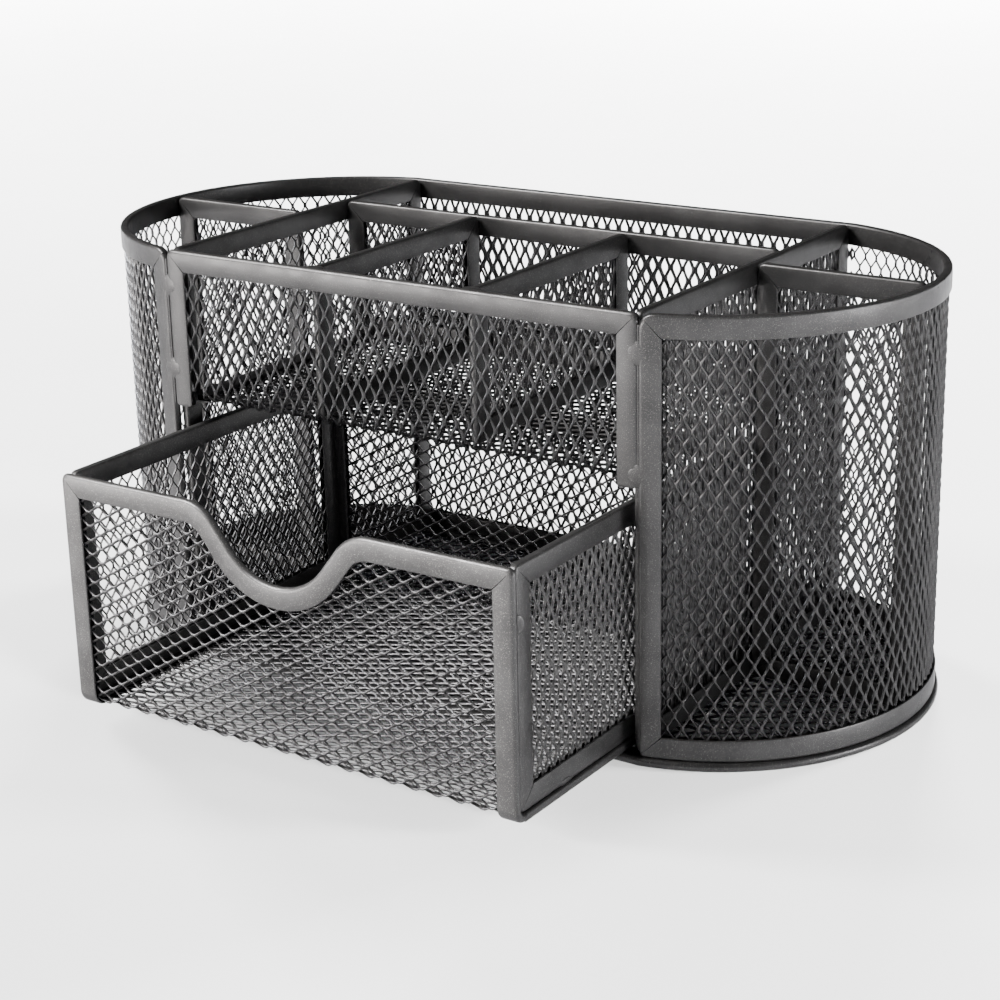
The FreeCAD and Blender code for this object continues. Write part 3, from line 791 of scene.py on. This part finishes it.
base_mesh()
end_mesh("left", -1)
end_mesh("right", 1)
tray_mesh()
drawer_mesh()
flat_panel("back_mesh", X, Z, Y, 1, wide=broad_strand_width)
for name, side in (("left", -1), ("right", 1)):
    flat_panel(name + "_wall_mesh", Y, Z, side * X, 1, wide=broad_strand_width)
    flat_panel(name + "_short_divider_mesh", Y, Z, side * X, 1)
    flat_panel(name + "_end_divider_mesh", X, Z, -Y, -1)
    flat_panel(name + "_drawer_side_mesh", Y, Z, side * X, 1, side_set_back)
    panel_frame(name + "_wall_frame", Y, side * X)
    panel_frame(name + "_short_divider_frame", Y, side * X)
    panel_frame(name + "_end_divider_frame", X, -Y)
    panel_frame(name + "_drawer_side_frame", Y, side * X, side_set_back, frame_top_corner)
    end_strips(name, side)
flat_panel("long_divider_mesh", X, Z, -Y, -1)
panel_frame("long_divider_frame", X, -Y)
tray_front_strips()
drawer_upright("front", -Y, True)
drawer_upright("rear", Y, False)
lying_strips()
back_rails()
base_strip()
body_welds()
drawer_welds()

for node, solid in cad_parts.items():
    solid.data.materials.clear()
    solid.data.materials.append(strip_coat)


# Studio

floor_light_distance = 3.0
floor_light_height = 0.42
floor_light_power = 520
front_floor_light_power = 120


def camera():
    """The photograph's viewpoint, solved from the object's straight edges and end arcs."""
    azimuth = math.radians(34.196)
    elevation = math.radians(18.725)
    roll = math.radians(-1.291)
    distance = 0.5629
    focal_widths = 2.2343
    across = 0.00432
    up_shift = 0.01335
    target = Vector((0, 0, 0.05043))
    back = Vector((math.sin(azimuth) * math.cos(elevation), -math.cos(azimuth) * math.cos(elevation),
                   math.sin(elevation)))
    level = Vector((math.cos(azimuth), math.sin(azimuth), 0))
    upright = back.cross(level)
    right = level * math.cos(roll) + upright * math.sin(roll)
    above = upright * math.cos(roll) - level * math.sin(roll)
    data = bpy.data.cameras.new("camera")
    data.sensor_width = 36
    data.lens = data.sensor_width * focal_widths
    data.clip_start = 0.01
    data.clip_end = 20
    made = bpy.data.objects.new("camera", data)
    bpy.context.scene.collection.objects.link(made)
    place = back * distance - right * across - above * up_shift + target
    made.matrix_world = Matrix.Translation(place) @ Matrix((right, above, back)).transposed().to_4x4()
    bpy.context.scene.camera = made


def soft_light(name, place, size, power, colour=(1, 1, 1)):
    """A square light turned towards the object, not seen by the camera."""
    data = bpy.data.lights.new(name, "AREA")
    data.shape = "SQUARE"
    data.size = size
    data.energy = power
    data.color = colour
    made = bpy.data.objects.new(name, data)
    made.visible_camera = False
    bpy.context.scene.collection.objects.link(made)
    place = Vector(place)
    towards = Vector((0, 0, 0.05)) - place
    made.matrix_world = Matrix.Translation(place) @ towards.to_track_quat("-Z", "Y").to_matrix().to_4x4()
    return made


def floor():
    """White paper under the object."""
    paper = Nodes("white_paper")
    tone = paper.colours(paper.noise(12, 2), [(0.3, (0.86, 0.86, 0.86)), (0.7, (0.88, 0.88, 0.88))])
    paper.link(tone, paper.shader.inputs["Base Color"])
    paper.shader.inputs["Roughness"].default_value = 0.9
    bm = bmesh.new()
    bmesh.ops.create_grid(bm, x_segments=1, y_segments=1, size=6)
    made = scene_object("floor", bm, paper.material)
    return made


def backdrop():
    """A pale round screen just behind the floor's lights, seen by the camera alone."""
    screen = Nodes("white_screen")
    tone = screen.colours(screen.noise(2, 2), [(0.3, (0.95, 0.95, 0.95)), (0.7, (1, 1, 1))])
    screen.link(tone, screen.shader.inputs["Emission Color"])
    screen.shader.inputs["Base Color"].default_value = (0, 0, 0, 1)
    screen.shader.inputs["Emission Strength"].default_value = 6
    bm = bmesh.new()
    radius = floor_light_distance + 0.15
    bmesh.ops.create_cone(bm, cap_ends=False, segments=96, radius1=radius, radius2=radius, depth=8)
    made = scene_object("backdrop", bm, screen.material)
    made.visible_diffuse = False
    made.visible_glossy = False
    made.visible_transmission = False
    made.visible_shadow = False


def light_only(lamps, name, listed, state):
    """Lets lamps shine on the listed objects alone (INCLUDE), or on everything but them (EXCLUDE)."""
    group = bpy.data.collections.new(name)
    for item in listed:
        group.objects.link(item)
    for entry in group.collection_objects:
        entry.light_linking.link_state = state
    for lamp in lamps:
        lamp.light_linking.receiver_collection = group


camera()
paper = floor()
backdrop()
front_place = (-0.36, -0.50, 0.05)
on_object = [
    soft_light("front_softbox", front_place, 0.25, 8, (1.0, 0.965, 0.925)),
    soft_light("top_softbox", (-0.48, -0.48, 0.66), 0.28, 36, (1.0, 0.98, 0.96)),
]
light_only(on_object, "all_but_the_floor", [paper], "EXCLUDE")
on_mesh = [
    soft_light("left_softbox", (-0.75, -0.20, 0.12), 0.30, 28, (0.92, 0.96, 1.0)),
    soft_light("left_top_softbox", (-0.67, -0.26, 0.42), 0.30, 12, (0.95, 0.975, 1.0)),
]
light_only(on_mesh, "only_the_mesh", pieces["mesh"], "INCLUDE")
on_drawer = [
    soft_light("drawer_front_softbox", front_place, 0.25, 18, (1.0, 0.965, 0.925)),
    soft_light("drawer_top_softbox", (-0.28, -0.55, 0.60), 0.25, 12),
]
light_only(on_drawer, "only_the_drawer", pieces["drawer"], "INCLUDE")
on_strips = [soft_light("right_softbox", (0.70, 0.06, 0.12), 0.30, 7)]
light_only(on_strips, "only_the_strips", pieces["edging"], "INCLUDE")
on_floor = []
floor_lights = 8
for turn in range(floor_lights):
    angle = 2 * math.pi * (turn + 0.5) / floor_lights
    around = Vector((math.cos(angle), math.sin(angle), 0))
    place = around * floor_light_distance + Z * floor_light_height
    power = front_floor_light_power if math.sin(angle) < -0.9 else floor_light_power
    on_floor.append(soft_light("floor_light_" + str(turn + 1), place, 0.7, power))
light_only(on_floor, "only_the_floor", [paper], "INCLUDE")
world = bpy.data.worlds.new("studio")
world.use_nodes = True
world.node_tree.nodes["Background"].inputs["Color"].default_value = (1, 1, 1, 1)
world.node_tree.nodes["Background"].inputs["Strength"].default_value = 0.12
bpy.context.scene.world = world
